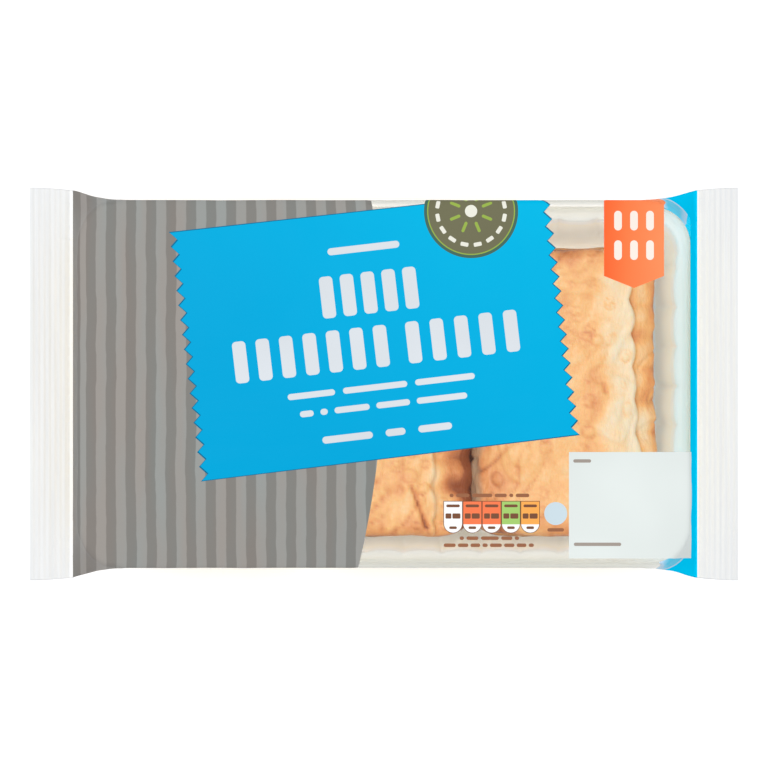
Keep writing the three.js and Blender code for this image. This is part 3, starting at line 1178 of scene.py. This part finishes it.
def tray_material():
    """Clear tray plastic, milky at its rim, with a painted warm reflection of the pastry down its walls, kept
    bright as painted light through them, and a painted blue cast and pale glints towards the blue end.
    """
    nodes = Nodes("tray_plastic", 0.4, 0.15)
    x, _, z = nodes.axes()
    depth = nodes.math("DIVIDE", z, TRAY_TOP * MM)
    # Towards the blue end: a painted blue cast on the rim and painted pale glints at the wall's foot
    blue_cast = nodes.span(x, BLUE_CAST_BAND[0] * MM, BLUE_CAST_BAND[1] * MM)
    foot = nodes.math("MULTIPLY", nodes.span(depth, *FOOT_GLINT_BAND), blue_cast)
    cool = nodes.math("MINIMUM", nodes.math("MULTIPLY", foot, FOOT_GLINT_GAIN), 1.0)
    wall = nodes.blend(cool, nodes.ramp(depth, TRAY_WALL_REFLECTION), TRAY_FOOT_GLINT)
    rim = nodes.blend(blue_cast, TRAY_RIM, TRAY_RIM_BLUE_CAST)
    colour = nodes.blend(nodes.span(depth, *RIM_BAND), wall, rim)
    nodes.set(("Alpha", 0.7), ("Subsurface Weight", 1.0), ("Subsurface Scale", 0.01))
    nodes.set(("Subsurface Radius", (1.0, 1.0, 1.0)))
    return nodes.finish(colour, nodes.bump(nodes.noise(nodes.place(), 90.0), 0.0003, 0.4))


# ---------- The rolls

ROLL_HEIGHT = 23.6
SHEET_STEP = 1.5  # the edge of the pastry's upper sheet
CRIMP_PITCH = 10.8
BLISTER_COUNT = 60
END_ROUNDING = 3.5
SIDE_SWEEP = 3.4  # how far the sides of an end lie behind its middle
MEAT_SIZE = (0.7, 0.66)  # of the roll's width and height
MEAT_BULGE = 1.5
MEAT_INSET = 1.9  # of its edge, from the roll's end
MEAT_RINGS = 12
MEAT_AROUND = 48
END_RINGS = ((0.93, 0.1), (0.86, 0.45), (0.79, 0.15), (0.71, 0.5), (0.6, 1.4), (0.3, 2.0))  # size and depth

# base: height of the underside, x and y: the layer's middle, step: spacing of the mesh
Layer = namedtuple("Layer", "name base width length x y step")
LAYERS = (
    Layer("lower", 1.6, 59.4, 87.4, 0.4, -1.6, 1.5),
    Layer("upper", 24.6, 61.7, 93.2, 0.0, -2.7, 0.7),
)
# x: middle line, lip and slant: place of the upper sheet's edge, cream_from: where the paler top begins,
# flank: browning beside the sheet's edge, flank_change: for each millimetre outwards, low: near the base
# flank_change and low are browning partly painted as shade: into the groove between rolls, and low on the
# sides
Column = namedtuple("Column", "x lip slant cream_from flank flank_change low")
COLUMNS = (
    Column(-59.9, 16.5, 0.03, 2.0, 0.55, 0.02, 0.4),
    Column(-0.6, 16.6, -0.02, 15.0, 0.34, 0.07, 0.8),
    Column(58.7, 23.6, -0.06, 9.5, 0.54, -0.01, 0.2),
)
# Pits, splits and paler patches in the crust of the upper rolls
Split = namedtuple("Split", "column start end half_width depth browning")
SPLITS = (
    Split(2, (12.8, 2.6), (13.5, 0.2), 0.7, 0.9, 0.26),
    Split(2, (7.5, 4.5), (12.0, -0.5), 2.2, 0.1, 0.08),
    Split(2, (28.0, -8.0), (28.0, -22.0), 3.4, 0.0, -0.3),
    Split(1, (9.7, -31.0), (14.4, -43.9), 0.6, 1.4, 0.42),
    Split(0, (-6.0, 18.0), (-2.0, 9.0), 0.8, 1.4, 0.4),
)


def rough(x, y, z, seed):
    """Unevenness round zero, which changes over about one unit of x, y and z."""
    return noise.noise(Vector((x + seed * 17.3, y - seed * 9.1, z + seed * 5.7)))


def terraces(value, count):
    """A smooth value cut into steps with soft edges, as flakes of pastry overlap."""
    whole, part = divmod(value * count, 1)
    return (whole + smooth((part - 0.4) / 0.2)) / count


def roll_profile(angle, width):
    """A point on the roll's outline seen from its end: a broad oval with a flatter foot."""
    c, s = math.cos(angle), math.sin(angle)
    x = width / 2 * math.copysign(abs(c) ** 0.78, c)
    z = ROLL_HEIGHT / 2 * math.copysign(abs(s) ** (0.82 if s > 0 else 0.6), s)
    return x, z


def past_sheet(x, y, column, seed):
    """How far a point lies outside the upper sheet's scalloped edge."""
    place = y / CRIMP_PITCH + 0.37 * seed
    notch = 1.1 + 0.9 * rough(3, round(place), 0, seed)
    scallop = abs(math.sin(math.pi * place)) - 0.65
    return x - (column.lip + column.slant * y + notch * scallop + 1.0 * rough(0, y / 12, 0, seed))


def crust(x, y, z, column, seed):
    """How far the pastry stands out at a point, how browned it is, with painted shade and highlights in that,
    and how much painted grey shade it has.

    Divisors of x, y and z are the lengths in millimetres over which each unevenness changes.
    """
    top = smooth((z / ROLL_HEIGHT + 0.06) / 0.12)
    beyond = past_sheet(x, y, column, seed)
    flank = smooth(beyond / 0.8 + 0.5)
    lobe = abs(math.sin(math.pi * (y / (CRIMP_PITCH * 0.96) + 0.21 * seed)))
    leaf = 0.5 + 0.5 * rough(x / 12, y / 17, z / 12, seed + 8)
    step = terraces(leaf, 6)
    slanting, across = (x + y) * 0.7, (x - y) * 0.7
    line = max(0.0, 1 - abs(rough(slanting / 16, across / 5.5, 0, seed + 5)) * 7)
    crease = line * max(0.0, rough(x / 20, y / 20, 2, seed + 6) + 0.3)

    lift = 1.0 * rough(x / 19, y / 17, z / 19, seed) + 0.5 * rough(x / 8, y / 8, z / 8, seed + 3)
    lift += 2.6 * (step - 0.5) * (1 - flank) - 0.9 * crease
    lift += 0.16 * rough(x / 1.7, y / 1.7, z / 1.7, seed + 10)
    lift += top * SHEET_STEP * (1 - flank) + 0.5 * top * math.exp(-((beyond + 1.3) / 1.1) ** 2)
    lift += flank * top * (1.3 * lobe - 0.9)

    cream_line = column.cream_from + 4.5 * rough(0, y / 13, 4, seed)
    bake = mix(0.42, 0.1, smooth((x - cream_line) / 7)) if top else 0.5
    bake += 0.14 * rough(x / 9, y / 12, z / 9, seed + 12) + 0.07 * rough(x / 4, y / 4.5, z / 4, seed + 13)
    # Browner in the recessed creases and at the foot of each flake's step: partly baked colour, partly
    # painted shade
    bake += 0.3 * crease + 0.65 * (leaf - step) + 0.24 * smooth((-x - 16) / 9)
    # A painted highlight: paler along the very edge of the upper sheet
    bake -= 0.1 * math.exp(-((beyond + 0.7) / 0.8) ** 2)
    # The flank's colour, with a painted highlight on each raised lobe
    side = column.flank + 0.3 * rough(x / 6, y / 7, z / 6, seed + 14) - 0.16 * lobe
    side += 0.22 * rough(0, y / 19, 0, seed + 15)
    # A painted shadow just beyond the upper sheet's edge, and browning that changes outwards, partly painted
    # shade of the groove between rolls
    side += 0.12 * math.exp(-max(0.0, beyond) / 1.2) + column.flank_change * max(0.0, beyond)
    # Browner low down on the outer sides: partly baked colour, partly painted shade
    bake = mix(bake, side, flank) + column.low * smooth((abs(x) - 24) / 5) * smooth((10 - z) / 8)
    # Painted grey shade on the upper left flank
    raw = 0.8 * smooth((-x - 26 + 2 * rough(0, y / 7, 3, seed)) / 2.5) * smooth((z - 1) / 3)
    return lift, bake, raw


def splits(x, y, column, lift, bake):
    """Presses the splits of a column's upper roll into its crust, and browns them."""
    for split in SPLITS:
        if COLUMNS[split.column] != column:
            continue
        start = np.array(split.start)
        line = np.array(split.end) - start
        along = np.clip(((x - start[0]) * line[0] + (y - start[1]) * line[1]) / np.sum(line**2), 0, 1)
        away = np.hypot(x - start[0] - along * line[0], y - start[1] - along * line[1]) / split.half_width
        dent = np.exp(-(away**2))
        lift -= split.depth * (dent - 0.25 * np.exp(-((away - 2.2) ** 2)))
        bake += split.browning * dent


def blisters(x, y, seed, lift, bake):
    """Small blisters on the top of the crust, each with a slightly browner rim."""
    draw = random.Random(seed)
    for _ in range(BLISTER_COUNT):
        cx, cy = draw.uniform(-25, 25), draw.uniform(-46, 46)
        radius = draw.uniform(0.9, 2.4)
        turn, squeeze = draw.uniform(0, math.pi), draw.uniform(0.6, 1.0)
        dx, dy = x - cx, y - cy
        long = dx * math.cos(turn) + dy * math.sin(turn)
        short = (dy * math.cos(turn) - dx * math.sin(turn)) / squeeze
        away = np.hypot(long, short) / radius
        rim = np.exp(-(((away - 1.0) / 0.25) ** 2))
        lift += 0.2 * radius * np.clip(1 - away**2, 0, None) ** 0.8 - 0.08 * rim
        bake += 0.13 * rim


def ring_angles(width, step):
    """Angles round a roll, closer together over its top than under it."""
    over = int(1.25 * width / step)
    under = int(0.75 * width / step)
    upper = [math.pi * i / over for i in range(over)]
    return upper + [math.pi + math.pi * i / under for i in range(under)]


def roll_points(layer, column, seed):
    """A roll's smooth body row by row, and how many points a row has.

    Each point has x, y, z, the crust's lift, bake and painted grey shade, and how far the rounded end draws
    it in.
    """
    profile = [roll_profile(angle, layer.width) for angle in ring_angles(layer.width, layer.step)]
    half = layer.length / 2
    rows = math.ceil(layer.length / layer.step)
    points = []
    for row in range(rows + 1):
        share = row / rows * 2 - 1
        for x, z in profile:
            corner = SIDE_SWEEP * abs(x / (layer.width / 2)) ** 5
            reach = half - corner + 1.3 * rough(x / 13, math.copysign(3, share), z / 16, seed)
            y = share * reach
            rounding = max(0.0, abs(y) - reach + END_ROUNDING)
            inset = END_ROUNDING - math.sqrt(max(0.0, END_ROUNDING**2 - rounding**2))
            lift, bake, raw = crust(x, y, z, column, seed)
            bake += smooth((abs(y) - half + 9) / 9) * (0.18 + 0.3 * rough(x / 9, y / 9, 5, seed))
            points.append((x, y, z, lift, bake, raw, inset))
    return np.array(points).T, len(profile)


def roll(layer, column, seed, name):
    """One roll, closed at its ends, lying along Y."""
    (x, y, z, lift, bake, raw, inset), around = roll_points(layer, column, seed)
    more_lift, more_bake = np.zeros(len(x)), np.zeros(len(x))
    blisters(x, y, seed, more_lift, more_bake)
    if layer.name == "upper":
        splits(x, y, column, more_lift, more_bake)
    lift, bake = lift + more_lift * (z > 0), bake + more_bake * (z > 0)
    out_x, out_z = x / layer.width**2, z / ROLL_HEIGHT**2
    scale = (lift - inset - SHEET_STEP) / np.hypot(out_x, out_z)
    corners = [Vector(c) for c in zip(x + out_x * scale, y, z + out_z * scale)]
    bake, raw = list(bake), list(raw)
    last = len(corners) - around
    faces = grid_faces(len(corners) // around, around, wrap=True)
    for first, sign in ((0, -1), (last, 1)):
        faces += roll_end(corners, bake, raw, range(first, first + around), sign, seed)
    low = min(c.z for c in corners)
    place = Vector((column.x + layer.x, layer.y, layer.base - low))
    attributes = {"bake": ("FLOAT", bake), "raw": ("FLOAT", raw)}
    mesh_piece(name, [c + place for c in corners], faces, [PASTRY], None, attributes)


def roll_end(corners, bakes, grey_shades, edge, sign, seed):
    """Closes an end with rings of pastry layers, round a dished middle where the meat sits."""
    ring = [corners[i] for i in edge]
    middle = sum(ring, Vector()) / len(ring)
    faces = []
    previous = list(edge)
    for k, (share, dish) in enumerate(END_RINGS):
        current = list(range(len(corners), len(corners) + len(ring)))
        for corner in ring:
            spot = middle.lerp(corner, share)
            spot.y = corner.y - sign * (dish + 0.5 * rough(spot.x / 4, spot.z / 4, k, seed))
            corners.append(spot)
            bakes.append(0.3 + 0.25 * (k % 2))
            grey_shades.append(0.0)
        for i in range(len(ring)):
            j = (i + 1) % len(ring)
            faces.append(facing(sign, (previous[i], previous[j], current[j], current[i])))
        previous = current
    return faces + [facing(sign, tuple(previous))]


def facing(sign, face):
    return face if sign > 0 else face[::-1]


def meat_end(layer, column, sign, seed, name):
    """The rough face of the sausage meat at one end of a roll."""
    corners = []
    for k in range(MEAT_RINGS + 1):
        share = math.sin(k / MEAT_RINGS * math.pi / 2)
        for i in range(MEAT_AROUND):
            angle = 2 * math.pi * i / MEAT_AROUND
            x = layer.width / 2 * MEAT_SIZE[0] * share * math.cos(angle)
            z = ROLL_HEIGHT / 2 * MEAT_SIZE[1] * share * math.sin(angle)
            out = MEAT_BULGE * math.sqrt(max(0.0, 1 - share**4)) + 0.5 * rough(x / 2.6, z / 2.6, 0, seed)
            y = layer.y + sign * (layer.length / 2 - MEAT_INSET + out)
            corners.append((column.x + layer.x + x, y, layer.base + ROLL_HEIGHT / 2 - 1.0 + z))
    faces = [facing(-sign, face) for face in grid_faces(MEAT_RINGS + 1, MEAT_AROUND, wrap=True)]
    mesh_piece(name, corners, faces, [MEAT])


PASTRY = pastry_material()
MEAT = meat_material()


def rolls():
    spots = [(layer, column) for layer in LAYERS for column in COLUMNS]
    for i, (layer, column) in enumerate(spots):
        place = f"{layer.name}_{i % len(COLUMNS) + 1}"
        roll(layer, column, i + 1, f"roll_{place}")
        for sign, end in ((-1, "near"), (1, "far")):
            meat_end(layer, column, sign, i + 1, f"meat_{place}_{end}")


# ---------- Floor, lights and camera


FLOOR_HALF = 20.0  # metres
FLOOR_DROP = 0.0002  # metres: it lies a hair under the pack
FLOOR_COLOUR = (0.97, 0.98, 1.0, 1)
FLOOR_GLOW = (0.75, 0.85, 1.0, 1)  # keeps it as white as the photo's background
FLOOR_GLOW_STRENGTH = 0.1
SKY_STRENGTH = 0.6
LAMPS = (  # place and size in metres, and watts
    ("key", (-0.45, 0.4, 2.4), 0.9, 27.5),
    ("fill", (0.9, -0.9, 2.0), 1.4, 5.7),
)
LAMP_TARGET = Vector((0, 0, 0.03))  # metres
PHOTO_WIDTH = 249.6  # what the view takes in across the pack's rim
CAMERA_HEIGHT = 10.5  # metres
SENSOR_WIDTH = 36.0
VIEW_LIMIT = 50  # metres


def floor():
    mesh = bpy.data.meshes.new("floor")
    corners = [(x * FLOOR_HALF, y * FLOOR_HALF, 0) for x, y in rectangle(-1, 1, -1, 1)]
    mesh.from_pydata(corners, [], [(0, 1, 2, 3)])
    nodes = Nodes("floor_white", 0.9, 0.1)
    nodes.set(("Base Color", FLOOR_COLOUR), ("Emission Color", FLOOR_GLOW))
    nodes.set(("Emission Strength", FLOOR_GLOW_STRENGTH))
    mesh.materials.append(nodes.material)
    plane = in_scene("floor", mesh)
    plane.location.z = -FLOOR_DROP


def lights():
    world = bpy.data.worlds.new("studio")
    world.use_nodes = True
    sky = world.node_tree.nodes["Background"]
    sky.inputs["Color"].default_value = (1, 1, 1, 1)
    sky.inputs["Strength"].default_value = SKY_STRENGTH
    bpy.context.scene.world = world
    for name, place, size, watts in LAMPS:
        data = bpy.data.lights.new(name, "AREA")
        data.size = size
        data.energy = watts
        lamp = in_scene(name, data)
        lamp.location = place
        lamp.rotation_euler = (LAMP_TARGET - Vector(place)).to_track_quat("-Z", "Y").to_euler()


def camera():
    data = bpy.data.cameras.new("camera")
    data.sensor_width = SENSOR_WIDTH
    data.lens = SENSOR_WIDTH * (CAMERA_HEIGHT - RIM_HEIGHT * MM) / (PHOTO_WIDTH * MM)
    data.clip_end = VIEW_LIMIT
    view = in_scene("camera", data)
    view.location.z = CAMERA_HEIGHT
    bpy.context.scene.camera = view


def main():
    scene = bpy.context.scene
    scene.view_settings.view_transform = "Standard"
    camera()
    lights()
    floor()
    film_pieces()
    back_seam()
    tray()
    rolls()


main()
